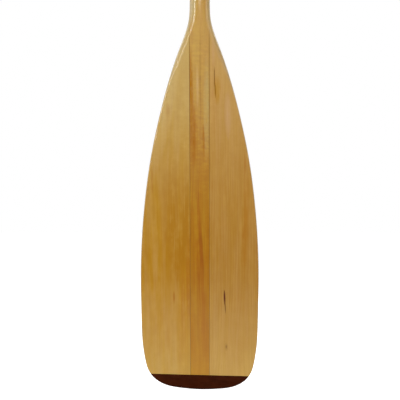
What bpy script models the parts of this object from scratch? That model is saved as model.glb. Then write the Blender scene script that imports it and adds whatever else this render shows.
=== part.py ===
"""A single-bladed canoe paddle of laminated wood with a cast resin tip.

The paddle hangs blade down, as its grip holds it in a rack: +Z runs up the shaft, the blade's faces look
towards -Y and +Y, and z = 0 is the level where the grip's shoulders rest on the rack's two prongs.

One smooth form is lofted for the whole paddle. Each piece is the part of that form inside its own glue
planes, with a small gap at every glue line: a shaft that carries on down the blade as its centre stringer,
two blade boards, two grip cheeks, and the resin tip, which wraps a tongue on the end of the three boards.
"""

import math

import bmesh
import bpy
import numpy as np

# Driving dimensions, in metres
OVERALL_LENGTH = 1.448
HANG_DEPTH = 0.084  # from the top of the grip down to the level of the rack's prongs
TOP_Z = HANG_DEPTH
TIP_Z = HANG_DEPTH - OVERALL_LENGTH
GLUE_GAP = 0.0003
HALF_GAP = GLUE_GAP / 2.0
SAME_HEIGHT = 1e-6

# The blade's outline: height above the tip, and half of the width there
BLADE_OUTLINE = (
    (0.0, 0.0),
    (0.0016, 0.0300),
    (0.0049, 0.0515),
    (0.0113, 0.0666),
    (0.0178, 0.0750),
    (0.0308, 0.0839),
    (0.0470, 0.0885),
    (0.0700, 0.0922),
    (0.1118, 0.0944),
    (0.1700, 0.0955),
    (0.2414, 0.0940),
    (0.3062, 0.0889),
    (0.3710, 0.0802),
    (0.4358, 0.0670),
    (0.5006, 0.0501),
    (0.5490, 0.0341),
    (0.5816, 0.0221),
    (0.5980, 0.0180),
    (0.6140, 0.0166),
    (0.6400, 0.0164),
)
WIDEST_HEIGHT = 0.170
TIP_SKEW = math.radians(1.6)  # the rounded end is cut a little lower on its right
OUTLINE_STEP = 0.021
TIP_OUTLINE_STEP = 0.011
ROUNDED_END_HEIGHT = 0.075

# Half-thicknesses of the blade and shaft
SPINE_HALF = 0.0050
EDGE_HALF = 0.0027
SHAFT_SPINE_HALF = 0.0140
SHAFT_EDGE_HALF = 0.0138
SPINE_RISE = (0.250, 0.630)  # heights between which the blade's middle thickens into the shaft
EDGE_RISE = (0.455, 0.605)  # the same for its edges
ROUND_RISE = (0.490, 0.610)  # and for the radius that rounds them
BLADE_EDGE_ROUND = 0.0027
SHAFT_ROUND_SHARE = 0.85  # of the half-width
FLAT_LAND_SHARE = 0.10  # middle part of the half-width that is quite flat

# The shaft's upper end and the palm grip: depth below the top, half-width, half-thickness
GRIP_PROFILE = (
    (0.026, 0.0365, 0.0158),
    (0.040, 0.0350, 0.0147),
    (0.054, 0.0302, 0.0133),
    (0.069, 0.0244, 0.0127),
    (0.084, 0.0200, 0.0129),
    (0.101, 0.0171, 0.0134),
    (0.125, 0.0156, 0.0137),
    (0.165, 0.0152, 0.0138),
)
GRIP_STEP = 0.009
DOME_ROWS = 6
DOME_POWER = 0.86  # 1 makes an ellipse, and less a squarer dome

# Columns of the loft in one quarter of a section: angles round the edge, then shares of the way inwards
EDGE_ANGLES = (0.0, 30.0, 60.0, 90.0)
INNER_SHARES = (0.22, 0.45, 0.68, 0.90, 1.0)

# Each side's sign, its name, and its blade glue plane's x at the board's upper end and at the tip
SIDES = (
    (-1, "left", (-0.0169, -0.0147)),
    (1, "right", (0.0153, 0.0156)),
)
BOARD_TOP_HEIGHT = 0.600
CHEEK_GLUE_X = 0.0154
CHEEK_LOWER_DEPTH = 0.115

# Resin tip: its seam crosses the blade on a slight slant
SEAM_HEIGHT = 0.0235
SEAM_SLANT = math.radians(1.5)
TONGUE_LENGTH = 0.0095
TONGUE_HALF_THICKNESS = 0.0013
TONGUE_HALF_WIDTH = 0.0600

# Half-sizes of the cutters, which only need to reach past the paddle
REACH_X = 0.130
REACH_Y = 0.040
REACH_Z = 0.060


def clear_scene():
    for obj in list(bpy.data.objects):
        bpy.data.objects.remove(obj, do_unlink=True)


def new_collection(name):
    collection = bpy.data.collections.new(name)
    bpy.context.scene.collection.children.link(collection)
    return collection


def glossy_material(name, colour, roughness):
    material = bpy.data.materials.new(name)
    material.use_nodes = True
    shader = material.node_tree.nodes["Principled BSDF"]
    shader.inputs["Base Color"].default_value = (*colour, 1.0)
    shader.inputs["Roughness"].default_value = roughness
    shader.inputs["Metallic"].default_value = 0.0
    material.diffuse_color = (*colour, 1.0)
    return material


def ease(value, low, high):
    """A smooth rise from 0 at low to 1 at high."""
    t = min(max((value - low) / (high - low), 0.0), 1.0)
    return t * t * (3.0 - 2.0 * t)


def late_ease(value, low, high):
    """The same, but with most of its rise near high."""
    t = min(max((value - low) / (high - low), 0.0), 1.0)
    return t * t * t * (4.0 - 3.0 * t)


def natural_spline(points):
    """A smooth curve through the points, as a function of the distance along their chords, and those
    distances."""
    points = np.array(points, dtype=float)
    steps = np.linalg.norm(np.diff(points, axis=0), axis=1)
    knots = np.concatenate([[0.0], np.cumsum(steps)])
    count = len(points)
    system = np.eye(count)
    right = np.zeros_like(points)
    for i in range(1, count - 1):
        system[i, i - 1 : i + 2] = (steps[i - 1], 2.0 * (steps[i - 1] + steps[i]), steps[i])
        rise_after = (points[i + 1] - points[i]) / steps[i]
        rise_before = (points[i] - points[i - 1]) / steps[i - 1]
        right[i] = 6.0 * (rise_after - rise_before)
    bends = np.linalg.solve(system, right)

    def at(distance):
        i = min(max(int(np.searchsorted(knots, distance)) - 1, 0), count - 2)
        before = (distance - knots[i]) / steps[i]
        after = 1.0 - before
        curve = after**3 - after, before**3 - before
        bend = (curve[0] * bends[i] + curve[1] * bends[i + 1]) * steps[i] ** 2 / 6.0
        return after * points[i] + before * points[i + 1] + bend

    return at, knots


def blade_outline():
    """(height, half-width) down the blade's right side, from the throat to the middle of the tip."""
    left_side = [(height, -half) for height, half in BLADE_OUTLINE[:0:-1]]
    at, knots = natural_spline(left_side + list(BLADE_OUTLINE))
    tip = len(left_side)
    samples = []
    for start, end in zip(knots[tip:-1], knots[tip + 1 :]):
        near_tip = at(start)[0] < ROUNDED_END_HEIGHT
        count = math.ceil((end - start) / (TIP_OUTLINE_STEP if near_tip else OUTLINE_STEP))
        samples += [at(start + (end - start) * i / count) for i in range(count)]
    samples.append(at(knots[-1]))
    samples[0] = (0.0, 0.0)
    return [(float(height), float(half)) for height, half in reversed(samples)]


def blade_section(height, half_width):
    """Half-thickness at the middle and at the edge, and the radius that rounds the edge."""
    spine = SPINE_HALF + (SHAFT_SPINE_HALF - SPINE_HALF) * late_ease(height, *SPINE_RISE)
    edge = EDGE_HALF + (SHAFT_EDGE_HALF - EDGE_HALF) * ease(height, *EDGE_RISE)
    shaft_round = SHAFT_ROUND_SHARE * half_width
    edge_round = BLADE_EDGE_ROUND + (shaft_round - BLADE_EDGE_ROUND) * ease(height, *ROUND_RISE)
    return spine, edge, edge_round


def grip_rows():
    """Rows of the loft from the top of the grip down to the shaft: (z, half-width, section)."""
    depth, half_width, half_thickness = GRIP_PROFILE[0]
    rows = []
    for i in range(1, DOME_ROWS):
        angle = math.pi / 2.0 * (1.0 - i / DOME_ROWS)
        rise = depth * math.sin(angle) ** DOME_POWER
        spread = math.cos(angle) ** DOME_POWER
        rows.append((depth - rise, half_width * spread, half_thickness * spread))
    at, knots = natural_spline(GRIP_PROFILE)
    for start, end in zip(knots[:-1], knots[1:]):
        count = math.ceil((end - start) / GRIP_STEP)
        rows += [tuple(at(start + (end - start) * i / count)) for i in range(count)]
    rows.append(GRIP_PROFILE[-1])
    return [
        (TOP_Z - depth, half, (thick, thick * SHAFT_EDGE_HALF / SHAFT_SPINE_HALF, SHAFT_ROUND_SHARE * half))
        for depth, half, thick in rows
    ]


def half_thickness(section, share, inset):
    """Of the form at a share (0 at the middle, 1 at the outline) and a distance in from the outline."""
    spine, edge, edge_round = section
    fall = max(0.0, (share - FLAT_LAND_SHARE) / (1.0 - FLAT_LAND_SHARE)) ** 2
    flank = spine - (spine - edge) * fall
    left_over = 1.0 - min(inset / edge_round, 1.0)
    return flank * math.sqrt(1.0 - left_over * left_over)


def insets(reach, edge_round):
    """Distances in from the outline of one quarter's columns, the last at the middle."""
    round_edge = [edge_round * (1.0 - math.cos(math.radians(angle))) for angle in EDGE_ANGLES]
    inner = [edge_round + (reach - edge_round) * share for share in INNER_SHARES]
    return round_edge + inner


def skewed(x, height):
    """The height of a point of the blade once its end is cut on a slant."""
    fade = 1.0 - ease(height, 0.0, WIDEST_HEIGHT)
    return height - math.tan(TIP_SKEW) * x * fade


def lofted_form():
    """The mesh of the whole paddle, with no glue lines: sections down to the blade's widest place, and
    below it rings that follow the outline round the tip, on either face."""
    bm = bmesh.new()
    outline = blade_outline()
    rows = grip_rows()
    for height, half in outline:
        if height >= WIDEST_HEIGHT - SAME_HEIGHT:
            rows.append((TIP_Z + height, half, blade_section(height, half)))

    rings = []
    for z, half_width, section in rows:
        steps = insets(half_width, section[2])
        quarter = [
            (half_width - inset, half_thickness(section, 1.0 - inset / half_width, inset))
            for inset in steps
        ]
        right_front = [(x, -y) for x, y in quarter]
        left_front = [(-x, -y) for x, y in reversed(quarter[:-1])]
        left_back = [(-x, y) for x, y in quarter[1:]]
        right_back = [(x, y) for x, y in reversed(quarter[1:-1])]
        around = right_front + left_front + left_back + right_back
        rings.append([bm.verts.new((x, y, z)) for x, y in around])
    for upper, lower in zip(rings[:-1], rings[1:]):
        for i in range(len(upper)):
            j = (i + 1) % len(upper)
            bm.faces.new((upper[i], upper[j], lower[j], lower[i]))
    top = bm.verts.new((0.0, 0.0, TOP_Z))
    for i in range(len(rings[0])):
        bm.faces.new((top, rings[0][(i + 1) % len(rings[0])], rings[0][i]))

    tip_rings(bm, rings[-1], [sample for sample in outline if sample[0] < WIDEST_HEIGHT - SAME_HEIGHT])
    bmesh.ops.recalc_face_normals(bm, faces=bm.faces)
    mesh = bpy.data.meshes.new("paddle_form")
    bm.to_mesh(mesh)
    bm.free()
    mesh.shade_smooth()
    return mesh


def tip_rings(bm, last_row, right_side):
    """Closes the form below its last row with rings round the middle of that row, on both faces."""
    columns = len(EDGE_ANGLES) + len(INNER_SHARES) - 1
    ring_size = len(last_row)
    front_spine = last_row[columns]
    back_spine = last_row[ring_size - columns]
    down_left = [(height, -half) for height, half in reversed(right_side[:-1])]
    sweep = [last_row_columns(last_row, columns, True)]
    for height, x in right_side + down_left:
        edge_round = blade_section(height, abs(x))[2]
        drop = WIDEST_HEIGHT - height
        reach = math.hypot(x, drop)
        front, back = [], []
        for inset in insets(reach, edge_round)[:-1]:
            share = 1.0 - inset / reach
            own_x = x * share
            own_height = WIDEST_HEIGHT - drop * share
            half = half_thickness(blade_section(own_height, abs(x)), share, inset)
            z = TIP_Z + skewed(own_x, own_height)
            front.append(bm.verts.new((own_x, -half, z)))
            back.append(front[0] if len(front) == 1 else bm.verts.new((own_x, half, z)))
        sweep.append((front, back))
    sweep.append(last_row_columns(last_row, columns, False))
    for near, far in zip(sweep[:-1], sweep[1:]):
        for face, spine in ((0, front_spine), (1, back_spine)):
            for i in range(columns - 1):
                bm.faces.new((near[face][i], near[face][i + 1], far[face][i + 1], far[face][i]))
            bm.faces.new((near[face][-1], spine, far[face][-1]))


def last_row_columns(last_row, columns, right):
    """The front and back points of the last row on one side, each from the outline inwards."""
    size = len(last_row)
    if right:
        front = [last_row[i] for i in range(columns)]
        back = [last_row[-i % size] for i in range(columns)]
    else:
        front = [last_row[2 * columns - i] for i in range(columns)]
        back = [last_row[2 * columns + i] for i in range(columns)]
    return front, back


def cutter_box(name, low, high, location=(0.0, 0.0, 0.0), tilt=0.0):
    """A box between two corners, turned by tilt about Y, which guides a cut and isn't seen."""
    bm = bmesh.new()
    bmesh.ops.create_cube(bm, size=1.0)
    for vert in bm.verts:
        for axis in range(3):
            vert.co[axis] = low[axis] if vert.co[axis] < 0.0 else high[axis]
    mesh = bpy.data.meshes.new(name)
    bm.to_mesh(mesh)
    bm.free()
    obj = bpy.data.objects.new(name, mesh)
    obj.location = location
    obj.rotation_euler = (0.0, tilt, 0.0)
    obj.hide_render = True
    obj.display_type = "WIRE"
    cutters.objects.link(obj)
    return obj


def boolean(obj, operation, other):
    modifier = obj.modifiers.new(f"{operation.lower()} {other.name}", "BOOLEAN")
    modifier.operation = operation
    modifier.solver = "EXACT"
    modifier.object = other


def piece(name, form, material, cuts):
    """A named piece: the whole form, cut by each (operation, cutter)."""
    mesh = form.copy()
    mesh.name = name
    mesh.materials.append(material)
    obj = bpy.data.objects.new(name, mesh)
    for operation, other in cuts:
        boolean(obj, operation, other)
    paddle.objects.link(obj)


def glue_plane_box(name, side, glue_x, shift):
    """Everything outside one of the blade's glue planes, moved away from the stringer by shift."""
    upper_x, tip_x = glue_x
    low = (-REACH_X if side < 0 else shift, -REACH_Y, -BOARD_TOP_HEIGHT - REACH_Z)
    high = (-shift if side < 0 else REACH_X, REACH_Y, -shift)
    tilt = math.atan2(upper_x - tip_x, BOARD_TOP_HEIGHT)
    return cutter_box(name, low, high, (upper_x, 0.0, TIP_Z + BOARD_TOP_HEIGHT), tilt)


def cheek_box(name, side, shift):
    """Everything outside one of the grip's glue planes, moved away from the shaft by shift."""
    low = (-REACH_X if side < 0 else shift, -REACH_Y, shift)
    high = (-shift if side < 0 else REACH_X, REACH_Y, CHEEK_LOWER_DEPTH + REACH_Z)
    return cutter_box(name, low, high, (side * CHEEK_GLUE_X, 0.0, TOP_Z - CHEEK_LOWER_DEPTH))


def tip_box(name, drop):
    """Everything below the tip's seam, lowered by drop."""
    return cutter_box(
        name,
        (-REACH_X, -REACH_Y, -REACH_Z),
        (REACH_X, REACH_Y, -drop),
        (0.0, 0.0, TIP_Z + SEAM_HEIGHT),
        SEAM_SLANT,
    )


def tongue_box(name, grow):
    """The tongue on the boards' ends, larger by grow all round. It runs up past the seam."""
    half_width = TONGUE_HALF_WIDTH + grow
    half_thick = TONGUE_HALF_THICKNESS + grow
    return cutter_box(
        name,
        (-half_width, -half_thick, -TONGUE_LENGTH - grow),
        (half_width, half_thick, TONGUE_LENGTH),
        (0.0, 0.0, TIP_Z + SEAM_HEIGHT),
        SEAM_SLANT,
    )


def build_tip_guard(form, material):
    """The resin below the seam, with a groove that the boards' tongue fills."""
    zone = tip_box("tip_zone", HALF_GAP)
    boolean(zone, "DIFFERENCE", tongue_box("tongue_groove", GLUE_GAP))
    piece("tip_guard", form, material, [("INTERSECT", zone)])


def build_tip_relief():
    """What the wood gives up to the tip: everything below the seam but the tongue."""
    relief = tip_box("tip_relief", -HALF_GAP)
    boolean(relief, "DIFFERENCE", tongue_box("tongue", 0.0))
    return relief


def build_blade_board(form, material, side, label, glue_x, tip_relief):
    zone = glue_plane_box(f"{label}_board_zone", side, glue_x, HALF_GAP)
    cuts = [("INTERSECT", zone), ("DIFFERENCE", tip_relief)]
    piece(f"blade_board_{label}", form, material, cuts)


def build_grip_cheek(form, material, side, label):
    zone = cheek_box(f"{label}_cheek_zone", side, HALF_GAP)
    piece(f"grip_cheek_{label}", form, material, [("INTERSECT", zone)])


def build_shaft_stringer(form, material, tip_relief):
    """The form less the boards, the cheeks and the tip: one piece of wood from end to end."""
    cuts = [("DIFFERENCE", tip_relief)]
    for side, label, glue_x in SIDES:
        board_relief = glue_plane_box(f"{label}_board_relief", side, glue_x, -HALF_GAP)
        cheek_relief = cheek_box(f"{label}_cheek_relief", side, -HALF_GAP)
        cuts += [("DIFFERENCE", board_relief), ("DIFFERENCE", cheek_relief)]
    piece("shaft_stringer", form, material, cuts)


clear_scene()
paddle = new_collection("canoe_paddle")
cutters = new_collection("cutters")

pale_wood = glossy_material("pale_wood", (0.53, 0.30, 0.10), 0.3)
honey_wood = glossy_material("honey_wood", (0.44, 0.22, 0.06), 0.3)
resin = glossy_material("resin", (0.045, 0.010, 0.005), 0.25)

whole_form = lofted_form()
wood_below_seam = build_tip_relief()
for board_side, board_label, board_glue_x in SIDES:
    build_blade_board(whole_form, pale_wood, board_side, board_label, board_glue_x, wood_below_seam)
    build_grip_cheek(whole_form, pale_wood, board_side, board_label)
build_shaft_stringer(whole_form, honey_wood, wood_below_seam)
build_tip_guard(whole_form, resin)
bpy.data.meshes.remove(whole_form)
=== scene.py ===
"""Looks for the canoe paddle: fine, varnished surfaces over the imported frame, a plain pale floor, soft studio
light and the camera.

Everything is in metres in the frame's own axes: +Z up the shaft, the blade's faces towards -Y and +Y. The
fine pieces follow the same form as the frame's solids. Heights are measured up from the tip.
"""

import math

import bmesh
import bpy
import numpy as np
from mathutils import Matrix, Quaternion, Vector


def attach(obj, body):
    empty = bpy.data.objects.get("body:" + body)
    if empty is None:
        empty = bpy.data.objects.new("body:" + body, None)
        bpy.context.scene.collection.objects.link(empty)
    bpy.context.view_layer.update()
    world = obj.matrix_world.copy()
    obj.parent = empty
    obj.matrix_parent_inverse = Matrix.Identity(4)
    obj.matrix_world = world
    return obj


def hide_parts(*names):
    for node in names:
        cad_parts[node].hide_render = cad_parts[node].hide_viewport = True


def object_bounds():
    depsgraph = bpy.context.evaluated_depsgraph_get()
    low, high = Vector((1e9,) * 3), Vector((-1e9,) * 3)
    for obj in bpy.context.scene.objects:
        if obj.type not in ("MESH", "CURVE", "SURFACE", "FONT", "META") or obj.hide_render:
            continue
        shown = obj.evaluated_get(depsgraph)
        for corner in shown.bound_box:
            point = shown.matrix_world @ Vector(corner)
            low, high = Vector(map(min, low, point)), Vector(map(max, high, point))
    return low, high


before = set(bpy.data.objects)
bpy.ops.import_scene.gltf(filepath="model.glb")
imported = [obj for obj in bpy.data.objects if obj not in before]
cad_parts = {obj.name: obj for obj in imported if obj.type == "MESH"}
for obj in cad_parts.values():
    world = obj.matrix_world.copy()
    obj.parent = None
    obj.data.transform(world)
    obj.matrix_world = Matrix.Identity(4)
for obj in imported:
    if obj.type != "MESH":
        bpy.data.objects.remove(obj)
cad_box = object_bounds()

# The paddle's form

OVERALL_LENGTH = 1.448
HANG_DEPTH = 0.084
TOP_Z = HANG_DEPTH
TIP_Z = HANG_DEPTH - OVERALL_LENGTH

# The blade's outline: height above the tip, and half of the width there
BLADE_OUTLINE = (
    (0.0, 0.0),
    (0.0016, 0.0300),
    (0.0049, 0.0515),
    (0.0113, 0.0666),
    (0.0178, 0.0750),
    (0.0308, 0.0839),
    (0.0470, 0.0885),
    (0.0700, 0.0922),
    (0.1118, 0.0944),
    (0.1700, 0.0955),
    (0.2414, 0.0940),
    (0.3062, 0.0889),
    (0.3710, 0.0802),
    (0.4358, 0.0670),
    (0.5006, 0.0501),
    (0.5490, 0.0341),
    (0.5816, 0.0221),
    (0.5980, 0.0180),
    (0.6140, 0.0166),
    (0.6400, 0.0164),
)
THROAT_HEIGHT = BLADE_OUTLINE[-1][0]
WIDEST_HEIGHT = 0.170
TIP_SKEW = math.radians(1.6)

# Half-thicknesses of the blade and of the shaft, at the middle and at the edge, the heights over which one
# turns into the other, and how round the edges are
SPINE_HALF = 0.0050
EDGE_HALF = 0.0027
SHAFT_SPINE_HALF = 0.0140
SHAFT_EDGE_HALF = 0.0138
SPINE_RISE = (0.250, 0.630)
EDGE_RISE = (0.455, 0.605)
ROUND_RISE = (0.490, 0.610)
BLADE_EDGE_ROUND = 0.0027
SHAFT_ROUND_SHARE = 0.85
FLAT_LAND_SHARE = 0.10  # of the half-width, flat down the middle

# The shaft's upper end and the palm grip: depth below the top, half-width, half-thickness
GRIP_PROFILE = (
    (0.026, 0.0365, 0.0158),
    (0.040, 0.0350, 0.0147),
    (0.054, 0.0302, 0.0133),
    (0.069, 0.0244, 0.0127),
    (0.084, 0.0200, 0.0129),
    (0.101, 0.0171, 0.0134),
    (0.125, 0.0156, 0.0137),
    (0.165, 0.0152, 0.0138),
)
DOME_POWER = 0.86

# Each side's sign, and its blade glue plane's x at the board's upper end and at the tip
BLADE_GLUE = {-1: (-0.0169, -0.0147), 1: (0.0153, 0.0156)}
BOARD_TOP_HEIGHT = 0.600
CHEEK_GLUE_X = 0.0154
CHEEK_LOWER_DEPTH = 0.115
SEAM_HEIGHT = 0.0235
SEAM_SLANT = math.radians(1.5)
HALF_JOINT = 0.00001  # half of the hairline left between two glued pieces

# How finely the surfaces are made
ROW_STEP = 0.004
SHAFT_STEP = 0.020
GRIP_ROW_STEP = 0.0028
DOME_ROWS = 18
CORE_COLUMNS = 24
CORE_SPREAD = math.radians(68.0)
ROUND_COLUMNS = 7
FACE_COLUMNS = 16
TIP_COLUMNS = 72
OUTLINE_SAMPLES = 60
GRIP_SAMPLES = 40
ROUND_LIMIT = 0.7  # the most of a span that its rounded edge takes
SETTLING_PASSES = 12  # how often a row's heights and its x are worked out from each other
SHARP_ANGLE = math.radians(42.0)
MERGE_DISTANCE = 1e-6
TINY = 1e-9  # keeps a divisor off zero


def ease(value, low, high):
    """A smooth rise from 0 at low to 1 at high."""
    t = np.clip((value - low) / (high - low), 0.0, 1.0)
    return t * t * (3.0 - 2.0 * t)


def late_ease(value, low, high):
    """The same, but with most of its rise near high."""
    t = np.clip((value - low) / (high - low), 0.0, 1.0)
    return t * t * t * (4.0 - 3.0 * t)


def natural_spline(points, per_span):
    """A smooth curve through the points, sampled per_span times between each pair."""
    points = np.array(points, dtype=float)
    steps = np.linalg.norm(np.diff(points, axis=0), axis=1)
    count = len(points)
    system = np.eye(count)
    right = np.zeros_like(points)
    for i in range(1, count - 1):
        system[i, i - 1 : i + 2] = (steps[i - 1], 2.0 * (steps[i - 1] + steps[i]), steps[i])
        rise_after = (points[i + 1] - points[i]) / steps[i]
        rise_before = (points[i] - points[i - 1]) / steps[i - 1]
        right[i] = 6.0 * (rise_after - rise_before)
    bends = np.linalg.solve(system, right)
    before = np.linspace(0.0, 1.0, per_span, endpoint=False)[:, None]
    after = 1.0 - before
    curve = []
    for i in range(count - 1):
        bend = ((after**3 - after) * bends[i] + (before**3 - before) * bends[i + 1]) * steps[i] ** 2 / 6.0
        curve.append(after * points[i] + before * points[i + 1] + bend)
    return np.vstack(curve + [points[-1:]])


left_half = [(height, -half) for height, half in BLADE_OUTLINE[:0:-1]]
whole_outline = natural_spline(left_half + list(BLADE_OUTLINE), OUTLINE_SAMPLES)
outline = whole_outline[len(left_half) * OUTLINE_SAMPLES :]
outline[0] = (0.0, 0.0)
below_widest = outline[outline[:, 0] <= WIDEST_HEIGHT]
ray_angles = np.arctan2(below_widest[:, 1], WIDEST_HEIGHT - below_widest[:, 0])
ray_reaches = np.hypot(below_widest[:, 1], WIDEST_HEIGHT - below_widest[:, 0])


def half_width(height):
    """Half of the blade's width at a height."""
    return np.interp(height, outline[:, 0], outline[:, 1])


def blade_section(height, half):
    """Half-thickness at the middle and at the edge, and the radius that rounds the edge."""
    spine = SPINE_HALF + (SHAFT_SPINE_HALF - SPINE_HALF) * late_ease(height, *SPINE_RISE)
    edge = EDGE_HALF + (SHAFT_EDGE_HALF - EDGE_HALF) * ease(height, *EDGE_RISE)
    shaft_round = SHAFT_ROUND_SHARE * half
    edge_round = BLADE_EDGE_ROUND + (shaft_round - BLADE_EDGE_ROUND) * ease(height, *ROUND_RISE)
    return spine, edge, edge_round


def half_thickness(section, share, inset):
    """Of the form at a share (0 at the middle, 1 at the outline) and a distance in from the outline."""
    spine, edge, edge_round = section
    fall = np.maximum(0.0, (share - FLAT_LAND_SHARE) / (1.0 - FLAT_LAND_SHARE)) ** 2
    flank = spine - (spine - edge) * fall
    left_over = 1.0 - np.clip(inset / edge_round, 0.0, 1.0)
    return flank * np.sqrt(np.maximum(0.0, 1.0 - left_over * left_over))


def blade_half_thickness(x, height):
    """Of the blade, anywhere in its outline. Below its widest place the shares run along rays from there."""
    half = half_width(height)
    drop = np.maximum(WIDEST_HEIGHT - height, 0.0)
    reach = np.interp(np.arctan2(np.abs(x), drop), ray_angles, ray_reaches)
    low = height < WIDEST_HEIGHT
    share = np.where(low, np.hypot(x, drop) / reach, np.abs(x) / np.maximum(half, TINY))
    share = np.minimum(share, 1.0)
    inset = (1.0 - share) * np.where(low, reach, half)
    return half_thickness(blade_section(height, half), share, inset)


def skewed(x, height):
    """The height of a point of the blade once its end is cut on a slant."""
    fade = 1.0 - ease(height, 0.0, WIDEST_HEIGHT)
    return height - math.tan(TIP_SKEW) * x * fade


def seam_line(x):
    """The height of the resin tip's seam at x."""
    return SEAM_HEIGHT - math.tan(SEAM_SLANT) * x


def seam_height(x):
    """The height, before the skew, at which the seam passes x."""
    seam = height = seam_line(x)
    for _ in range(SETTLING_PASSES):
        height = seam + (height - skewed(x, height))
    return height


def glue_x(side, height):
    """The x of the glue plane between the stringer and the board on one side."""
    upper, tip = BLADE_GLUE[side]
    return tip + (upper - tip) * height / BOARD_TOP_HEIGHT


def blade_points(x, height, face):
    """Points on one face (-1 front, 1 back) of the blade."""
    return np.stack([x, face * blade_half_thickness(x, height), TIP_Z + skewed(x, height)], axis=-1)


# Fine pieces


def mesh_of(name, patches):
    """One mesh piece from grids of points. Grids that share a border are welded along it."""
    bm = bmesh.new()
    for grid in patches:
        inside = np.clip(grid, cad_box[0], cad_box[1])
        verts = [[bm.verts.new(point) for point in row] for row in inside]
        for upper, lower in zip(verts[:-1], verts[1:]):
            for i in range(len(upper) - 1):
                bm.faces.new((upper[i], upper[i + 1], lower[i + 1], lower[i]))
    bmesh.ops.remove_doubles(bm, verts=bm.verts, dist=MERGE_DISTANCE)
    bmesh.ops.dissolve_degenerate(bm, edges=bm.edges, dist=MERGE_DISTANCE)
    bmesh.ops.recalc_face_normals(bm, faces=bm.faces)
    mesh = bpy.data.meshes.new(name)
    bm.to_mesh(mesh)
    bm.free()
    mesh.shade_smooth()
    mesh.set_sharp_from_angle(angle=SHARP_ANGLE)
    piece = bpy.data.objects.new(name, mesh)
    bpy.context.scene.collection.objects.link(piece)
    return piece


def between(front, back):
    """A flat strip that joins one border of the front to the same border of the back."""
    return np.stack([front, back])


def closed_patches(front, back):
    """Both faces and the strips along all four borders. A strip of no width welds away."""
    strips = [between(front[i], back[i]) for i in (0, -1)]
    strips += [between(front[:, i], back[:, i]) for i in (0, -1)]
    return [front, back] + strips


def edge_distances(span, edge_round):
    """Distances in from the outline across a span: close together round the edge, then even."""
    round_share = np.minimum(edge_round, ROUND_LIMIT * span)
    angles = np.linspace(0.0, math.pi / 2.0, ROUND_COLUMNS + 1)
    rounded = round_share[:, None] * (1.0 - np.cos(angles))
    even = np.linspace(0.0, 1.0, FACE_COLUMNS + 1)[1:]
    return np.hstack([rounded, round_share[:, None] + (span - round_share)[:, None] * even])


def blade_rows():
    """The upper blade's row heights, from the boards' top down to the widest place."""
    count = round((BOARD_TOP_HEIGHT - WIDEST_HEIGHT) / ROW_STEP)
    return np.linspace(BOARD_TOP_HEIGHT, WIDEST_HEIGHT, count + 1)


def lower_shares():
    """Shares of the way from the widest place down to the seam, for the lower blade's rows."""
    return np.linspace(0.0, 1.0, round(WIDEST_HEIGHT / ROW_STEP))[1:]


def part_way(share, end):
    """The height at a share of the way from the widest place down to end."""
    return WIDEST_HEIGHT + share * (end - WIDEST_HEIGHT)


def make_board(name, side):
    """One of the blade's wide boards, row by row from its upper end down to the seam."""
    upper = blade_rows()
    spans = half_width(upper) - side * glue_x(side, upper) - HALF_JOINT
    insets = edge_distances(spans, blade_section(upper, half_width(upper))[2])
    x = side * (half_width(upper)[:, None] - insets)
    rows = [(x, np.repeat(upper[:, None], x.shape[1], axis=1))]
    for share in lower_shares():
        row_height = np.full(x.shape[1], part_way(share, SEAM_HEIGHT))
        for _ in range(SETTLING_PASSES):
            edge_x = half_width(row_height[0])
            inner_x = side * glue_x(side, row_height[-1]) + HALF_JOINT
            inset = edge_distances(np.array([edge_x - inner_x]), BLADE_EDGE_ROUND)[0]
            row_x = side * (edge_x - inset)
            row_height = part_way(share, seam_height(row_x) + HALF_JOINT)
        rows.append((row_x, row_height))
    x, height = (np.vstack(grids) for grids in zip(*rows))
    front, back = (blade_points(x, height, face) for face in (-1, 1))
    front[:, 0, 1] = back[:, 0, 1] = 0.0
    return mesh_of(name, closed_patches(front, back))


def upper_rows():
    """Rows of the grip and shaft from the top down to the boards' top: z, half-width and section."""
    depth, half, thick = GRIP_PROFILE[0]
    angles = np.linspace(math.pi / 2.0, 0.0, DOME_ROWS + 1)[:-1]
    rise = depth * np.sin(angles) ** DOME_POWER
    spread = np.cos(angles) ** DOME_POWER
    spread[0] = 0.0
    dome = np.stack([depth - rise, half * spread, thick * spread], axis=1)
    curve = natural_spline(GRIP_PROFILE, GRIP_SAMPLES)
    start, end = GRIP_PROFILE[0][0], GRIP_PROFILE[-1][0]
    depths = np.linspace(start, end, round((end - start) / GRIP_ROW_STEP) + 1)
    grip = np.stack([depths, *(np.interp(depths, curve[:, 0], curve[:, i]) for i in (1, 2))], axis=1)
    profile = np.vstack([dome, grip])
    depth, half, thick = profile.T
    edge = thick * SHAFT_EDGE_HALF / SHAFT_SPINE_HALF
    rows = np.stack([TOP_Z - depth, half, thick, edge, SHAFT_ROUND_SHARE * half], axis=1)

    throat_half = BLADE_OUTLINE[-1][1]
    throat = np.array([TIP_Z + THROAT_HEIGHT, throat_half, *blade_section(THROAT_HEIGHT, throat_half)])
    count = round((rows[-1, 0] - throat[0]) / SHAFT_STEP)
    shares = np.linspace(0.0, 1.0, count + 1)[1:, None]
    shaft = rows[-1] + (throat - rows[-1]) * shares

    count = round((THROAT_HEIGHT - BOARD_TOP_HEIGHT) / ROW_STEP)
    heights = np.linspace(THROAT_HEIGHT, BOARD_TOP_HEIGHT, count + 1)[1:]
    halves = half_width(heights)
    below = np.stack([TIP_Z + heights, halves, *blade_section(heights, halves)], axis=1)
    return np.vstack([rows, shaft, below])


def row_points(rows, x, face):
    """Points on one face of the grip or shaft, at each row's x."""
    z, half, spine, edge, edge_round = (column[:, None] for column in rows.T)
    share = np.minimum(np.abs(x) / np.maximum(half, TINY), 1.0)
    section = (spine, edge, np.maximum(edge_round, TINY))
    y = face * half_thickness(section, share, (1.0 - share) * half)
    return np.stack([x, y, np.broadcast_to(z, x.shape)], axis=-1)


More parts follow.
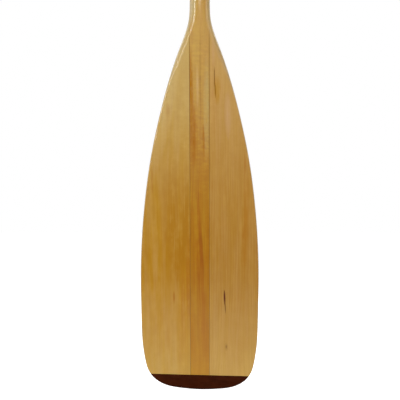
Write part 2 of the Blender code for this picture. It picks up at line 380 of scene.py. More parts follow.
def with_exact_row(rows, depth):
    """The rows, with the one nearest to a depth below the top moved to just that depth, and its index."""
    z = TOP_Z - depth
    index = int(np.argmin(np.abs(rows[:, 0] - z)))
    rows[index] = [np.interp(z, rows[::-1, 0], rows[::-1, i]) for i in range(rows.shape[1])]
    return rows, index


def make_stringer(name):
    """The grip's core, the shaft and the blade's middle board, which are one piece of wood."""
    rows, cheek_end = with_exact_row(upper_rows(), CHEEK_LOWER_DEPTH)
    z, half = rows[:, 0], rows[:, 1]
    cheek_x = CHEEK_GLUE_X - HALF_JOINT
    core = {}
    for side in (-1, 1):
        board_x = side * glue_x(side, BOARD_TOP_HEIGHT) - HALF_JOINT
        shares = np.interp(z, (z[-1], z[cheek_end]), (board_x / half[-1], cheek_x / half[cheek_end]))
        core[side] = np.where(z > z[cheek_end], np.minimum(half, cheek_x), half * shares)
    spread = np.sin(np.linspace(-CORE_SPREAD, CORE_SPREAD, CORE_COLUMNS + 1)) / math.sin(CORE_SPREAD)

    def across(left, right):
        """The x of a row's columns, from left on the negative side to right."""
        return np.where(spread < 0.0, spread * left, spread * right)

    x = across(core[-1][:, None], core[1][:, None])
    lower = []
    for height in blade_rows()[1:]:
        ends = [side * glue_x(side, height) - HALF_JOINT for side in (-1, 1)]
        lower.append((across(*ends), np.full(len(spread), height)))
    for share in lower_shares():
        row_height = np.full(len(spread), part_way(share, SEAM_HEIGHT))
        for _ in range(SETTLING_PASSES):
            ends = [side * glue_x(side, row_height[i]) - HALF_JOINT for side, i in ((-1, 0), (1, -1))]
            row_x = across(*ends)
            row_height = part_way(share, seam_height(row_x) + HALF_JOINT)
        lower.append((row_x, row_height))
    lower_x, lower_height = (np.array(grid) for grid in zip(*lower))

    faces = {}
    for face in (-1, 1):
        upper = row_points(rows, x, face)
        upper[0] = (0.0, 0.0, TOP_Z)
        faces[face] = np.vstack([upper, blade_points(lower_x, lower_height, face)])
    patches = [faces[-1], faces[1], between(faces[-1][-1], faces[1][-1])]
    bare = slice(cheek_end, None)
    board_top = len(rows) - 1
    turns = np.sin(np.linspace(0.0, math.pi / 2.0, ROUND_COLUMNS + 1))
    for side, column in ((-1, 0), (1, -1)):
        outer = core[side][bare, None] + (half[bare] - core[side][bare])[:, None] * turns
        strips = [row_points(rows[bare], side * outer, face) for face in (-1, 1)]
        for strip in strips:
            strip[:, -1, 1] = 0.0
        patches += strips
        patches += [between(strips[0][end], strips[1][end]) for end in (0, -1)]
        for glued in (slice(0, cheek_end + 1), slice(board_top, None)):
            patches.append(between(faces[-1][glued, column], faces[1][glued, column]))
    return mesh_of(name, patches)


def make_cheek(name, side):
    """One of the blocks glued to the shaft's upper end to make the palm grip."""
    rows, cheek_end = with_exact_row(upper_rows(), CHEEK_LOWER_DEPTH)
    inner = CHEEK_GLUE_X + HALF_JOINT
    rows = rows[: cheek_end + 1]
    first = int(np.argmax(rows[:, 1] > inner))
    wide = (inner - rows[first - 1, 1]) / (rows[first, 1] - rows[first - 1, 1])
    start = rows[first - 1] + (rows[first] - rows[first - 1]) * wide
    rows = np.vstack([start, rows[first:]])
    spans = np.maximum(rows[:, 1] - inner, 0.0)
    insets = edge_distances(spans, rows[:, 4])
    x = side * (rows[:, 1][:, None] - insets)
    front, back = (row_points(rows, x, face) for face in (-1, 1))
    front[:, 0, 1] = back[:, 0, 1] = 0.0
    front[0] = back[0] = (side * inner, 0.0, rows[0, 0])
    return mesh_of(name, closed_patches(front, back))


def make_tip(name):
    """The resin tip, on lines that run from the blade's end outline up to the seam."""
    right = outline[outline[:, 0] < WIDEST_HEIGHT]
    curve = np.vstack([right[:0:-1] * (1.0, -1.0), right])
    heights = skewed(curve[:, 1], curve[:, 0])
    under = heights < seam_line(curve[:, 1])
    first, last = np.flatnonzero(under)[[0, -1]]
    corners = []
    for inside, outside in ((first, first - 1), (last, last + 1)):
        gaps = [heights[i] - seam_line(curve[i, 1]) for i in (inside, outside)]
        corners.append(curve[inside] + (curve[outside] - curve[inside]) * gaps[0] / (gaps[0] - gaps[1]))
    curve = np.vstack([corners[0], curve[first : last + 1], corners[1]])
    lengths = np.concatenate([[0.0], np.cumsum(np.hypot(*np.diff(curve, axis=0).T))])
    places = lengths[-1] * (1.0 - np.cos(np.linspace(0.0, math.pi, TIP_COLUMNS + 1))) / 2.0
    end = np.stack([np.interp(places, lengths, curve[:, i]) for i in (0, 1)], axis=1)
    seam_x = np.interp(places / lengths[-1], (0.0, 1.0), (corners[0][1], corners[1][1]))
    seam = np.stack([seam_height(seam_x) - HALF_JOINT, seam_x], axis=1)
    seam[[0, -1]] = end[[0, -1]]
    spans = np.hypot(*(seam - end).T)
    steps = edge_distances(spans, BLADE_EDGE_ROUND) / np.maximum(spans, TINY)[:, None]
    points = end[:, None] + (seam - end)[:, None] * steps[..., None]
    front, back = (blade_points(points[..., 1], points[..., 0], face) for face in (-1, 1))
    front[:, 0, 1] = back[:, 0, 1] = 0.0
    for grid in (front, back):
        grid[[0, -1]] = grid[[0, -1], :1]
    return mesh_of(name, closed_patches(front, back))


# Materials

# Each scale of the wood's grain: its seed's shift, its features' size across the grain and along it, and its
# detail
WANDER_GRAIN = (0.1, 0.050, 0.50, 1.0)
WAVER_GRAIN = (0.2, 0.012, 0.11, 1.0)
BAND_GRAIN = (0.3, 0.014, 0.20, 2.0)
HUE_GRAIN = (0.4, 0.009, 0.12, 2.0)
STREAK_GRAIN = (0.5, 0.0040, 0.11, 1.0)
THREAD_GRAIN = (0.6, 0.0015, 0.048, 1.0)
FIBRE_GRAIN = (0.7, 0.00038, 0.012, 2.0)
PORE_GRAIN = (0.8, 0.00016, 0.0034, 0.0)
CLOUD_GRAIN = (0.9, 0.045, 0.085, 2.0)
BRUSH_GRAIN = (1.1, 0.0032, 0.060, 1.0)
PATCH_GRAIN = (1.2, 0.0100, 0.0200, 2.0)
RIPPLE_GRAIN = (1.3, 0.0100, 0.0042, 1.0)
WAVER_SHIFT = 0.0011
DEPTH_SHARE = 0.7  # how fast the grain changes through the wood, against across it
SEED_STEP = (13.7, 5.1, 8.3)

# Growth rings: how far the grain's shifts, bands and streaks bend them, and where late wood sets in and ends
RING_WARP = 2.6
RING_BANDS = 3.0
RING_STREAKS = 0.6
LATE_START = (0.25, 0.90)
LATE_END = (0.93, 1.0)
LATE_MEAN = 0.30

# How marks and flaws break up: weights of the streaks, threads, patches and 1, then of that sum, the fibres
# and 1. Both sums are 1 on average
RAGGED = (1.1, 0.9, 1.0, -0.5)
FIBROUS = (1.0, 3.0, -1.5)

HUE_SPAN = (0.33, 0.67)
PORE_SPAN = (0.66, 0.76)
PORE_STRENGTH = 0.22

# The painted grey sheen and rim shade of the edges, a tint that stands in for the varnish's reflection at
# grazing
# angles and for darker rims: where a normal's share towards a face starts it and has it full, and the heights
# over which it weakens to its share up the shaft
PAINTED_EDGE_SHEEN = (0.360, 0.345, 0.220)
EDGE_SHEEN_TURN = (0.93, 0.45)
EDGE_SHEEN_HEIGHTS = (0.64, 0.84)
EDGE_SHEEN_UPPER_SHARE = 0.25

# The glue lines: half-width and strength of a line and of its halo, then where the blade's lines are stronger
DARK_GLUE = (0.120, 0.055, 0.010)
LINE_CORE = 0.35  # the share of a line's half-width that has its full strength
GLUE_CORE = (0.00042, 0.60)
GLUE_HALO = (0.0016, 0.10)
GLUE_RISE = (0.30, 0.45)
GLUE_UPPER_STRENGTH = 1.35
GLUE_FADE = 0.050
CHEEK_GLUE_FADE = 0.0004

# How high the varnish stands over each kind of grain, and how much each adds to its roughness
FIBRE_RELIEF = 5e-6
LATE_RELIEF = -3e-6
PORE_RELIEF = -6e-6
BRUSH_RELIEF = 1.6e-5
CLOUD_ROUGHNESS = 0.14
FIBRE_ROUGHNESS = 0.10
LATE_ROUGHNESS = 0.03
VARNISH = {"Specular IOR Level": 0.05, "Coat Weight": 0.60, "Coat Roughness": 0.12}

# Cast resin: each noise's seed, size across and along, and detail, then its tones, and the weights of the
# noises in its tone (clouds, flecks), relief (clouds, flecks, pits, scuffs) and roughness (clouds, scuffs, 1)
RESIN_CLOUDS = (41.0, 0.022, 0.012, 3.0)
RESIN_FLECKS = (42.0, 0.0014, 0.0014, 2.0)
RESIN_SCUFFS = (43.0, 0.009, 0.0006, 2.0)
RESIN_PITS = (44.0, 0.0009, 0.0009, 0.0)
RESIN_DARK = (0.0340, 0.0052, 0.0002)
RESIN_LIGHT = (0.0520, 0.0082, 0.0005)
RESIN_WORN = (0.11, 0.05, 0.03)
RESIN_SPAN = (0.35, 0.75)
SCUFF_SPAN = (0.62, 0.80)
SCUFF_STRENGTH = 0.10
PIT_SPAN = (0.70, 0.80)
RESIN_FLOW = (0.8, 0.25)
RESIN_RELIEF = (1.2e-5, 3e-6, -1.2e-5, -2e-6)
RESIN_ROUGHNESS = (0.12, 0.12, 0.16)
RESIN_GLOSS = {"Specular IOR Level": 0.05}


def add_node(tree, kind, inputs=None, **settings):
    """A new node with its settings and its inputs, each of them a number, a vector or a socket to link."""
    made = tree.nodes.new(kind)
    for name, value in settings.items():
        setattr(made, name, value)
    for key, value in (inputs or {}).items():
        if isinstance(value, bpy.types.NodeSocket):
            tree.links.new(value, made.inputs[key])
        else:
            made.inputs[key].default_value = value
    return made


class Graph:
    """Adds nodes to one material and wires them up."""

    def __init__(self, name):
        self.material = bpy.data.materials.new(name)
        self.material.use_nodes = True
        self.tree = self.material.node_tree
        coordinates = self.node("ShaderNodeTexCoord").outputs
        self.turn = self.node("ShaderNodeSeparateXYZ", {0: coordinates["Normal"]}).outputs[1]
        parts = self.node("ShaderNodeSeparateXYZ", {0: coordinates["Object"]}).outputs
        self.x, self.y = parts[0], parts[1]
        self.height = self.math("SUBTRACT", parts[2], TIP_Z)

    def node(self, kind, inputs=None, **settings):
        """A new node in this material."""
        return add_node(self.tree, kind, inputs, **settings)

    def math(self, operation, a, b=0.0, c=0.0, clamp=False):
        """The result of an operation on up to three values."""
        inputs = {0: a, 1: b, 2: c}
        return self.node("ShaderNodeMath", inputs, operation=operation, use_clamp=clamp).outputs[0]

    def centred(self, value, middle=0.5):
        """The value, counted from its middle."""
        return self.math("SUBTRACT", value, middle)

    def total(self, *terms):
        """The sum of value times weight over the pairs."""
        result = 0.0
        for value, weight in terms:
            result = self.math("MULTIPLY_ADD", value, weight, result)
        return result

    def step(self, value, low, high, at_low=0.0, at_high=1.0):
        """A smooth change from at_low to at_high as value goes from low to high."""
        inputs = {0: value, 1: low, 2: high, 3: at_low, 4: at_high}
        return self.node("ShaderNodeMapRange", inputs, interpolation_type="SMOOTHSTEP").outputs[0]

    def curve(self, value, points):
        """A smooth curve of value through (value, result) points, the first of them at value 0."""
        span = points[-1][0]
        made = self.node("ShaderNodeFloatCurve", {"Value": self.math("DIVIDE", value, span, clamp=True)})
        curve = made.mapping.curves[0]
        curve.points[0].location = (0.0, points[0][1])
        curve.points[1].location = (1.0, points[-1][1])
        for place, level in points[1:-1]:
            curve.points.new(place / span, level)
        made.mapping.update()
        return made.outputs[0]

    def mix(self, factor, a, b):
        """Colour a turned into colour b by a factor."""
        inputs = {0: factor}
        for socket, colour in ((6, a), (7, b)):
            inputs[socket] = colour if isinstance(colour, bpy.types.NodeSocket) else (*colour, 1.0)
        return self.node("ShaderNodeMix", inputs, data_type="RGBA").outputs[2]

    def streaks(self, seed, across, along, detail=1.0, warp=None):
        """Noise drawn out along the grain: its features' size across the grain and along it, in metres."""
        x = self.x if warp is None else self.math("ADD", self.x, warp)
        vector = self.node("ShaderNodeCombineXYZ", {0: x, 1: self.y, 2: self.height}).outputs[0]
        scale = (1.0 / across, DEPTH_SHARE / across, 1.0 / along)
        scaled = self.node("ShaderNodeVectorMath", {0: vector, 1: scale}, operation="MULTIPLY").outputs[0]
        offset = tuple(step * seed for step in SEED_STEP)
        moved = self.node("ShaderNodeVectorMath", {0: scaled, 1: offset}, operation="ADD").outputs[0]
        inputs = {"Vector": moved, "Scale": 1.0, "Detail": detail, "Roughness": 0.5}
        return self.node("ShaderNodeTexNoise", inputs).outputs["Fac"]

    def spindle(self, start, end, width):
        """1 at the middle of a slim spindle between two (x, height) ends, falling to 0 at its outline."""
        (x0, h0), (x1, h1) = start, end
        along = self.math("DIVIDE", self.math("SUBTRACT", self.height, h0), h1 - h0, clamp=True)
        middle = self.math("MULTIPLY_ADD", along, x1 - x0, x0)
        across = self.math("DIVIDE", self.math("SUBTRACT", self.x, middle), width)
        length = self.math("MULTIPLY", self.math("MULTIPLY", along, 4.0), self.math("SUBTRACT", 1.0, along))
        return self.math("SUBTRACT", length, self.math("MULTIPLY", across, across), clamp=True)

    def line(self, x_at_tip, slope, half):
        """1 on a straight line down the wood, falling to 0 at half its width."""
        middle = self.math("MULTIPLY_ADD", self.height, slope, x_at_tip)
        distance = self.math("ABSOLUTE", self.math("SUBTRACT", self.x, middle))
        return self.step(distance, LINE_CORE * half, half, 1.0, 0.0)

    def finish(self, colour, roughness, relief, settings):
        """Give the shader its colour, roughness, relief in metres and plain settings."""
        shader = self.tree.nodes["Principled BSDF"].inputs
        bump = self.node("ShaderNodeBump", {"Strength": 1.0, "Distance": 1.0, "Height": relief})
        for key, socket in (("Base Color", colour), ("Roughness", roughness), ("Normal", bump.outputs[0])):
            self.tree.links.new(socket, shader[key])
        for key, value in settings.items():
            shader[key].default_value = value
        return self.material


def glue_marks(graph, sides, cheeks):
    """How much glue colour shows: thin lines at the glue planes and a faint squeezed-out edge."""
    marks = 0.0
    spans = []
    if sides:
        fading = graph.step(graph.height, BOARD_TOP_HEIGHT - GLUE_FADE, BOARD_TOP_HEIGHT, 1.0, 0.0)
        rising = graph.step(graph.height, *GLUE_RISE, 1.0, GLUE_UPPER_STRENGTH)
        blade = graph.math("MULTIPLY", fading, rising)
        for side in sides:
            upper, tip = BLADE_GLUE[side]
            spans.append((tip, (upper - tip) / BOARD_TOP_HEIGHT, blade))
    if cheeks:
        end = OVERALL_LENGTH - CHEEK_LOWER_DEPTH
        grip = graph.step(graph.height, end - CHEEK_GLUE_FADE, end)
        spans += [(side * CHEEK_GLUE_X, 0.0, grip) for side in cheeks]
    for x_at_tip, slope, zone in spans:
        lines = [(graph.line(x_at_tip, slope, half), strength) for half, strength in (GLUE_CORE, GLUE_HALO)]
        marks = graph.math("MULTIPLY_ADD", graph.total(*lines), zone, marks, clamp=True)
    return marks


def wood(name, seed, look, marks=(), flaws_and_sheen=(), glue_sides=(), cheek_sides=()):
    """Varnished wood. look has the tones and grain; marks and flaws_and_sheen are (tone, strength, start, end,
    width), and some of them are painted sheen and highlights. The grain shows over the marks and under the
    flaws_and_sheen."""
    g = Graph(name)

    def grain(scale, warp=None):
        """Noise at one scale of the grain, shifted sideways by the warp if one is given."""
        shift, across, along, detail = scale
        return g.streaks(seed + shift, across, along, detail, warp)

    def spindles(colour, drawn_over, breaks):
        """The colour with marks or flaws drawn over it, broken up by breaks."""
        for tone, strength, start, end, width in drawn_over:
            broken = g.math("MULTIPLY", breaks, strength)
            drawn = g.math("MULTIPLY", g.spindle(start, end, width), broken, clamp=True)
            colour = g.mix(drawn, colour, tone)
        return colour

    wander = g.centred(grain(WANDER_GRAIN))
    waver = g.centred(grain(WAVER_GRAIN))
    warp = g.total((wander, look["wander"]), (waver, WAVER_SHIFT))
    bands = grain(BAND_GRAIN, warp)
    hues = grain(HUE_GRAIN, warp)
    streaks = grain(STREAK_GRAIN, warp)
    threads = grain(THREAD_GRAIN, warp)
    fibres = grain(FIBRE_GRAIN, warp)
    pores = g.step(grain(PORE_GRAIN, warp), *PORE_SPAN)
    patches = grain(PATCH_GRAIN)
    ripples = g.math("MULTIPLY", g.centred(grain(RIPPLE_GRAIN)), g.curve(g.height, RIPPLED))

    # Growth rings, cut nearly along the grain, show as soft lines with one crisp side
    slant = math.radians(look["ring_slant"])
    ring_x = g.math("ADD", g.x, g.math("MULTIPLY", warp, RING_WARP))
    depth = g.total((ring_x, math.cos(slant) / look["ring_step"]), (g.y, math.sin(slant) / look["ring_step"]))
    rise = g.math("FRACT", g.total((depth, 1.0), (bands, RING_BANDS), (streaks, RING_STREAKS)))
    late = g.math("MULTIPLY", g.step(rise, *LATE_START), g.step(rise, *LATE_END, 1.0, 0.0))

    tone = g.total(
        (g.centred(bands), look["bands"]),
        (g.centred(streaks), look["streaks"]),
        (g.centred(threads), look["threads"]),
        (g.centred(fibres), look["fibres"]),
        (g.centred(late, LATE_MEAN), look["rings"]),
        (g.centred(patches), look["patches"]),
        (ripples, look["ripples"]),
    )
    ragged = g.total(*zip((streaks, threads, patches, 1.0), RAGGED))
    fibrous = g.total(*zip((ragged, fibres, 1.0), FIBROUS))
    colour = g.mix(g.step(hues, *HUE_SPAN), look["warm"], look["cool"])
    colour = spindles(colour, marks, ragged)
    colour = g.mix(g.math("MULTIPLY", tone, 1.0, clamp=True), colour, look["dark"])
    colour = g.mix(g.math("MULTIPLY", tone, -1.0, clamp=True), colour, look["pale"])
    # Paler towards the tip and up the throat and shaft: painted sheen standing in for the varnish's reflection
    colour = g.mix(g.curve(g.height, TIP_PAINTED_SHEEN), colour, look["tip"])
    colour = g.mix(g.curve(g.height, THROAT_PAINTED_SHEEN), colour, look["throat"])
    colour = spindles(colour, flaws_and_sheen, fibrous)

    # Painted sheen and shade on the edges: a grey tint that stands in for the varnish's grazing reflection and
    # darker rims, less of it up the shaft
    edge_sheen_facing = g.step(g.math("ABSOLUTE", g.turn), *EDGE_SHEEN_TURN)
    edge_sheen_share = g.step(g.height, *EDGE_SHEEN_HEIGHTS, look["edge"], EDGE_SHEEN_UPPER_SHARE * look["edge"])
    colour = g.mix(g.math("MULTIPLY", edge_sheen_facing, edge_sheen_share), colour, PAINTED_EDGE_SHEEN)
    colour = g.mix(g.math("MULTIPLY", pores, PORE_STRENGTH), colour, look["dark"])
    if glue_sides or cheek_sides:
        colour = g.mix(glue_marks(g, glue_sides, cheek_sides), colour, DARK_GLUE)

    # The varnish fills most of the grain; what is left of it and the brush's waves catch the light
    relief = g.total(
        (fibres, FIBRE_RELIEF),
        (late, LATE_RELIEF),
        (pores, PORE_RELIEF),
        (grain(BRUSH_GRAIN), BRUSH_RELIEF),
    )
    roughness = g.total(
        (grain(CLOUD_GRAIN), CLOUD_ROUGHNESS),
        (fibres, FIBRE_ROUGHNESS),
        (late, LATE_ROUGHNESS),
        (1.0, look["gloss"]),
    )
    return g.finish(colour, roughness, relief, VARNISH)


def resin(name):
    """Cast resin, dark reddish brown: nearly even, with faint flow clouds, fine scuffs and tiny pits."""
    g = Graph(name)
    clouds, flecks, scuffs = (g.streaks(*noise) for noise in (RESIN_CLOUDS, RESIN_FLECKS, RESIN_SCUFFS))
    pits = g.step(g.streaks(*RESIN_PITS), *PIT_SPAN)
    tone = g.step(g.total(*zip((clouds, flecks), RESIN_FLOW)), *RESIN_SPAN)
    worn = g.math("MULTIPLY", g.step(scuffs, *SCUFF_SPAN), SCUFF_STRENGTH)
    colour = g.mix(worn, g.mix(tone, RESIN_DARK, RESIN_LIGHT), RESIN_WORN)
    relief = g.total(*zip((clouds, flecks, pits, scuffs), RESIN_RELIEF))
    roughness = g.total(*zip((clouds, scuffs, 1.0), RESIN_ROUGHNESS))
    return g.finish(colour, roughness, relief, RESIN_GLOSS)


# How far the wood has turned to its paler end tones, a painted sheen that stands in for the varnish's
# reflection near the tip and up the throat and shaft, and where its figure ripples, by height above the tip
TIP_PAINTED_SHEEN = (
    (0.0, 0.262),
    (0.034, 0.225),
    (0.063, 0.150),
    (0.083, 0.116),
    (0.121, 0.064),
    (0.160, 0.022),
    (0.20, 0.0),
)
THROAT_PAINTED_SHEEN = (
    (0.0, 0.0),
    (0.20, 0.0),
    (0.277, 0.028),
    (0.316, 0.050),
    (0.371, 0.105),
    (0.426, 0.175),
    (0.465, 0.225),
    (0.504, 0.250),
    (0.543, 0.275),
    (0.70, 0.280),
)
RIPPLED = (
    (0.0, 0.15),
    (0.30, 0.15),
    (0.38, 0.7),
    (0.44, 1.0),
    (0.53, 0.9),
    (0.60, 0.3),
    (0.75, 0.2),
)

# Tones, and how strongly each scale of grain shows. The tip and throat tones are painted sheen, paler towards
# the ends
LEFT_LOOK = {
    "warm": (0.405, 0.191, 0.006),
    "cool": (0.420, 0.215, 0.032),
    "dark": (0.330, 0.125, 0.0),
    "pale": (0.530, 0.310, 0.060),
    "tip": (0.880, 0.655, 0.200),
    "throat": (0.715, 0.665, 0.340),
    "wander": 0.016,
    "ring_slant": 35.0,
    "ring_step": 0.0062,
    "bands": 0.42,
    "streaks": 0.34,
    "threads": 0.36,
    "fibres": 0.24,
    "rings": 0.12,
    "patches": 0.80,
    "ripples": 0.60,
    "gloss": 0.20,
    # The strength of the painted grey sheen and rim shade on the edges
    "edge": 0.42,
}
RIGHT_LOOK = {
    **LEFT_LOOK,
    "warm": (0.376, 0.181, 0.021),
    "cool": (0.394, 0.199, 0.036),
    "tip": (0.980, 0.700, 0.210),
    "throat": (0.745, 0.545, 0.245),
    "ring_slant": 20.0,
    "ring_step": 0.0041,
    "bands": 0.40,
    "streaks": 0.42,
    "threads": 0.52,
    "rings": 0.24,
    "patches": 0.55,
    "ripples": 0.35,
}
STRINGER_LOOK = {
    **LEFT_LOOK,
    "warm": (0.350, 0.130, 0.0),
    "cool": (0.370, 0.163, 0.004),
    "dark": (0.270, 0.080, 0.0),
    "pale": (0.470, 0.250, 0.006),
    "tip": (0.850, 0.480, 0.060),
    "throat": (0.795, 0.630, 0.255),
    "ring_slant": 55.0,
    "ring_step": 0.0058,
    "bands": 0.50,
    "streaks": 0.46,
    "threads": 0.60,
    "rings": 0.16,
    "patches": 0.60,
    "ripples": 1.80,
}

FLAME = (0.338, 0.114, 0.0)
DEEP = (0.300, 0.088, 0.0)
ORANGE = (0.370, 0.140, 0.0)
OLIVE = (0.360, 0.151, 0.0)
HONEY = (0.405, 0.183, 0.0)
BROWN = (0.110, 0.035, 0.0)
MINERAL = (0.100, 0.017, 0.0)
PALE_STREAK_AND_SHEEN = (0.630, 0.450, 0.210)
SILVER = (0.450, 0.375, 0.150)
ROSE = (0.510, 0.310, 0.145)
PAINTED_SHEEN_GREY = (0.440, 0.440, 0.240)
LEFT_MARKS = (
    (OLIVE, 1.40, (-0.0438, 0.318), (-0.0434, 0.230), 0.0046),
    (OLIVE, 1.10, (-0.0225, 0.372), (-0.0240, 0.170), 0.0096),
    (OLIVE, 1.70, (-0.0330, 0.258), (-0.0310, 0.150), 0.0095),
    (OLIVE, 0.80, (-0.0440, 0.390), (-0.0440, 0.165), 0.0190),
    (HONEY, 1.70, (-0.0255, 0.210), (-0.0235, -0.060), 0.0130),
    (ORANGE, 1.20, (-0.0185, 0.262), (-0.0165, 0.080), 0.0054),
    # A painted sheen: a pale streak across the grain down the outer left flank, standing in for light on it
    (PALE_STREAK_AND_SHEEN, 0.24, (-0.0290, 0.580), (-0.0790, 0.330), 0.0130),
    (ORANGE, 0.75, (-0.0272, 0.205), (-0.0262, 0.045), 0.0046),
    (FLAME, 0.90, (-0.0417, 0.162), (-0.0415, 0.137), 0.0017),
    (ORANGE, 0.60, (-0.0515, 0.122), (-0.0500, 0.050), 0.0036),
    (ORANGE, 0.60, (-0.0320, 0.105), (-0.0315, 0.010), 0.0034),
    (FLAME, 0.75, (-0.0776, 0.360), (-0.0770, 0.315), 0.0026),
    (FLAME, 0.60, (-0.0518, 0.466), (-0.0508, 0.430), 0.0042),
)
RIGHT_MARKS = (
    (FLAME, 0.50, (0.0215, 0.5550), (0.0225, 0.4050), 0.0078),
    (ORANGE, 0.55, (0.0780, 0.3750), (0.0700, 0.1700), 0.0076),
    (FLAME, 0.55, (0.0735, 0.3830), (0.0728, 0.3420), 0.0029),
    (FLAME, 0.40, (0.0715, 0.2780), (0.0705, 0.2320), 0.0033),
)
RIGHT_FLAWS = (
    (MINERAL, 1.80, (0.0397, 0.1624), (0.0407, 0.1345), 0.0015),
    (BROWN, 0.65, (0.0404, 0.1470), (0.0419, 0.1200), 0.0012),
    (MINERAL, 0.36, (0.0430, 0.0730), (0.0431, 0.0656), 0.0014),
    (BROWN, 0.20, (0.0430, 0.0770), (0.0432, 0.0615), 0.0032),
    (BROWN, 1.70, (0.0234, 0.5240), (0.0236, 0.4820), 0.0007),
    (BROWN, 1.50, (0.0249, 0.4970), (0.0253, 0.4700), 0.0008),
    (HONEY, 0.50, (0.0276, 0.5120), (0.0282, 0.4580), 0.0066),
    (ROSE, 0.60, (0.0446, 0.4860), (0.0462, 0.4020), 0.0062),
    (ROSE, 0.40, (0.0216, 0.5740), (0.0222, 0.5200), 0.0034),
)
STRINGER_MARKS = (
    (DEEP, 0.90, (-0.0062, 0.357), (-0.0058, 0.289), 0.0014),
    (DEEP, 0.90, (-0.0030, 0.361), (-0.0020, 0.273), 0.0016),
    (FLAME, 1.25, (-0.0048, 0.325), (0.0030, 0.200), 0.0038),
    (FLAME, 1.20, (-0.0064, 0.272), (-0.0010, 0.165), 0.0042),
    (DEEP, 1.20, (-0.0006, 0.280), (0.0058, 0.154), 0.0039),
    (FLAME, 1.25, (0.0028, 0.210), (0.0076, 0.106), 0.0036),
    (DEEP, 0.85, (-0.0016, 0.205), (0.0004, 0.127), 0.0020),
    (DEEP, 0.65, (0.0062, 0.149), (0.0068, 0.067), 0.0018),
    (FLAME, 0.75, (0.0056, 0.146), (0.0070, 0.045), 0.0039),
    (FLAME, 0.85, (0.0110, 0.118), (0.0120, 0.014), 0.0041),
    (DEEP, 4.00, (-0.0164, 0.550), (-0.0152, 0.390), 0.0044),
    (FLAME, 1.10, (-0.0125, 0.483), (-0.0098, 0.359), 0.0064),
    (FLAME, 0.55, (0.0085, 0.565), (0.0080, 0.465), 0.0023),
)
STRINGER_FLAWS_AND_SHEEN = (
    (ORANGE, 0.62, (-0.0146, 0.560), (-0.0138, 0.415), 0.0044),
    (FLAME, 0.50, (-0.0112, 0.470), (-0.0080, 0.350), 0.0078),
    (SILVER, 0.42, (0.0108, 0.548), (0.0112, 0.360), 0.0058),
    (DEEP, 0.50, (0.0058, 0.432), (0.0066, 0.372), 0.0024),
    (BROWN, 0.16, (0.0006, 0.606), (0.0010, 0.430), 0.0020),
    (PALE_STREAK_AND_SHEEN, 0.30, (-0.0044, 0.530), (-0.0036, 0.452), 0.0028),
    # A painted sheen: a grey strip down the left of the shaft, standing in for the varnish's reflection
    (PAINTED_SHEEN_GREY, 0.42, (-0.0070, 0.700), (-0.0118, 0.585), 0.0058),
    # A painted highlight: a pale strip down the middle of the shaft's front
    (PALE_STREAK_AND_SHEEN, 0.24, (0.0001, 0.690), (0.0008, 0.598), 0.0022),
    (ORANGE, 0.42, (0.0080, 0.720), (0.0086, 0.588), 0.0034),
)

# The pieces: mesh, the node it replaces, slot and material

pieces = (
    (
        make_stringer("stringer_wood"),
        "shaft_stringer",
        "honey_wood",
        wood("varnished_honey_wood", 1.0, STRINGER_LOOK, STRINGER_MARKS, STRINGER_FLAWS_AND_SHEEN, (-1, 1), (-1, 1)),
    ),
    (
        make_board("left_board_wood", -1),
        "blade_board_left",
        "pale_wood",
        wood("varnished_left_board", 2.0, LEFT_LOOK, LEFT_MARKS, glue_sides=(-1,)),
    ),
    (
        make_board("right_board_wood", 1),
        "blade_board_right",
        "pale_wood",
        wood("varnished_right_board", 3.0, RIGHT_LOOK, RIGHT_MARKS, RIGHT_FLAWS, glue_sides=(1,)),
    ),
    (
        make_cheek("left_cheek_wood", -1),
        "grip_cheek_left",
        "pale_wood",
        wood("varnished_left_cheek", 4.0, LEFT_LOOK, cheek_sides=(-1,)),
    ),
    (
        make_cheek("right_cheek_wood", 1),
        "grip_cheek_right",
        "pale_wood",
        wood("varnished_right_cheek", 5.0, RIGHT_LOOK, cheek_sides=(1,)),
    ),
    (make_tip("resin_tip"), "tip_guard", "resin", resin("cast_resin")),
)
for piece, node, slot_name, material in pieces:
    piece.data.materials.append(material)
    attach(piece, "root")
    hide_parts(node)

# Floor, light and camera

FLOOR_HALF = 14.0
FLOOR_DROP = 0.0004
FLOOR_COLOUR = (0.93, 0.93, 0.93, 1.0)
FLOOR_LIFT = 0.74  # added to what the camera sees of the floor, so that it is white

# The world's strength as a light and as the room that a gloss sees, the way to the backdrop, and where the
# room gives way to it
WHITE = (1.0, 1.0, 1.0, 1.0)
DIFFUSE_WORLD = 0.34
ROOM_WORLD = 0.06
BACKDROP_SIDE = (-0.60, 0.80, 0.0)
BACKDROP_EDGE = (-0.25, 0.10)

CAMERA_DISTANCE = 3.0
CAMERA_X = 0.0004
CAMERA_HEIGHT = 0.3066
FRAME_WIDTH = 0.648
SENSOR_WIDTH = 36.0
FAR_CLIP = 100.0

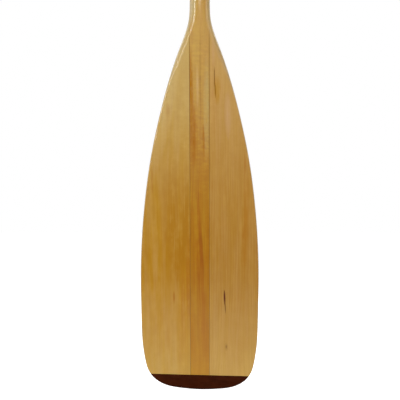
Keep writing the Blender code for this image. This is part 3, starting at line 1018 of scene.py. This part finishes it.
# Lamps: name, place, aim, (width, height), radiance, and roll about the line to the aim
BLADE_MIDDLE = (0.0, 0.0, TIP_Z + 0.36)
THROAT = (0.0, 0.0, -0.80)
LOWER_SHAFT = (0.0, 0.0, -0.70)
LAMPS = (
    ("key_left", (-1.85, -1.78, -0.45), THROAT, (0.17, 0.62), 35.0, math.radians(45.0)),
    ("key_left_high", (-2.15, -1.40, 0.13), THROAT, (0.20, 0.60), 18.0, 0.0),
    ("side_left", (-2.60, 0.25, -0.45), THROAT, (1.60, 0.80), 1.3, 0.0),
    ("side_right", (2.20, -1.60, -0.15), THROAT, (0.25, 1.15), 2.0, 0.0),
    ("fill_right", (2.80, -0.80, -0.50), THROAT, (1.20, 1.50), 2.7, 0.0),
    ("front_high", (0.0, -3.10, 0.05), LOWER_SHAFT, (0.30, 0.95), 9.0, 0.0),
    ("front_left", (-1.00, -2.90, 0.80), BLADE_MIDDLE, (1.00, 0.80), 3.9, 0.0),
    ("front_right", (1.00, -2.90, 0.80), BLADE_MIDDLE, (1.00, 0.80), 3.9, 0.0),
    ("overhead", (0.0, -1.60, 1.60), BLADE_MIDDLE, (1.60, 1.20), 2.4, 0.0),
    ("back_left", (-1.90, 2.30, 0.95), BLADE_MIDDLE, (2.20, 1.60), 3.5, 0.0),
    ("back_right", (1.90, 2.30, 0.95), BLADE_MIDDLE, (2.20, 1.60), 3.1, 0.0),
)


def make_floor():
    """A wide matt floor that the camera sees as white."""
    mesh = bpy.data.meshes.new("floor")
    bm = bmesh.new()
    bmesh.ops.create_grid(bm, x_segments=1, y_segments=1, size=FLOOR_HALF)
    bm.to_mesh(mesh)
    bm.free()
    floor = bpy.data.objects.new("floor", mesh)
    floor.location = (0.0, 0.0, cad_box[0].z - FLOOR_DROP)
    bpy.context.scene.collection.objects.link(floor)
    material = bpy.data.materials.new("white_floor")
    material.use_nodes = True
    tree = material.node_tree
    tree.nodes.clear()
    seen = add_node(tree, "ShaderNodeLightPath").outputs["Is Camera Ray"]
    strength = add_node(tree, "ShaderNodeMath", {0: seen, 1: FLOOR_LIFT}, operation="MULTIPLY")
    lift = add_node(tree, "ShaderNodeEmission", {"Strength": strength.outputs[0]})
    paint = add_node(tree, "ShaderNodeBsdfDiffuse", {"Color": FLOOR_COLOUR})
    both = add_node(tree, "ShaderNodeAddShader", {0: paint.outputs[0], 1: lift.outputs[0]})
    add_node(tree, "ShaderNodeOutputMaterial", {"Surface": both.outputs[0]})
    mesh.materials.append(material)


def make_world():
    """Seen directly it is white. A gloss sees the white backdrop and window side, and a darker room in front.
    As a light it is a plain grey."""
    world = bpy.data.worlds.new("studio")
    bpy.context.scene.world = world
    world.use_nodes = True
    tree = world.node_tree
    background = tree.nodes["Background"].inputs
    background["Color"].default_value = WHITE
    rays = add_node(tree, "ShaderNodeLightPath").outputs
    directions = {0: add_node(tree, "ShaderNodeTexCoord").outputs["Generated"], 1: BACKDROP_SIDE}
    facing = add_node(tree, "ShaderNodeVectorMath", directions, operation="DOT_PRODUCT").outputs["Value"]
    span = {0: facing, 1: BACKDROP_EDGE[0], 2: BACKDROP_EDGE[1], 3: ROOM_WORLD, 4: 1.0}
    room = add_node(tree, "ShaderNodeMapRange", span, interpolation_type="SMOOTHSTEP").outputs[0]
    seen = {0: rays["Is Camera Ray"], 1: rays["Is Transmission Ray"]}
    clear = add_node(tree, "ShaderNodeMath", seen, operation="MAXIMUM").outputs[0]
    lighting = {0: rays["Is Glossy Ray"], 2: DIFFUSE_WORLD, 3: room}
    as_light = add_node(tree, "ShaderNodeMix", lighting).outputs[0]
    strength = add_node(tree, "ShaderNodeMix", {0: clear, 2: as_light, 3: 1.0}).outputs[0]
    tree.links.new(strength, background["Strength"])


def make_lamp(name, place, aim, size, radiance, roll):
    """A rectangular lamp, turned to face its aim and rolled about that line."""
    light = bpy.data.lights.new(name, "AREA")
    light.shape = "RECTANGLE"
    light.size, light.size_y = size
    light.energy = radiance * math.pi * size[0] * size[1]
    lamp = bpy.data.objects.new(name, light)
    lamp.location = place
    turn = (Vector(aim) - Vector(place)).to_track_quat("-Z", "Y")
    lamp.rotation_euler = (turn @ Quaternion((0.0, 0.0, 1.0), roll)).to_euler()
    bpy.context.scene.collection.objects.link(lamp)


def make_camera():
    """Level with the blade's middle, and wide enough for the photograph's frame at the paddle."""
    optics = bpy.data.cameras.new("camera")
    optics.sensor_width = SENSOR_WIDTH
    optics.lens = SENSOR_WIDTH * CAMERA_DISTANCE / FRAME_WIDTH
    optics.clip_end = FAR_CLIP
    camera = bpy.data.objects.new("camera", optics)
    camera.location = (CAMERA_X, -CAMERA_DISTANCE, TIP_Z + CAMERA_HEIGHT)
    camera.rotation_euler = (math.pi / 2.0, 0.0, 0.0)
    bpy.context.scene.collection.objects.link(camera)
    bpy.context.scene.camera = camera


make_floor()
make_world()
for lamp_settings in LAMPS:
    make_lamp(*lamp_settings)
make_camera()

bpy.context.scene.view_settings.view_transform = "Standard"
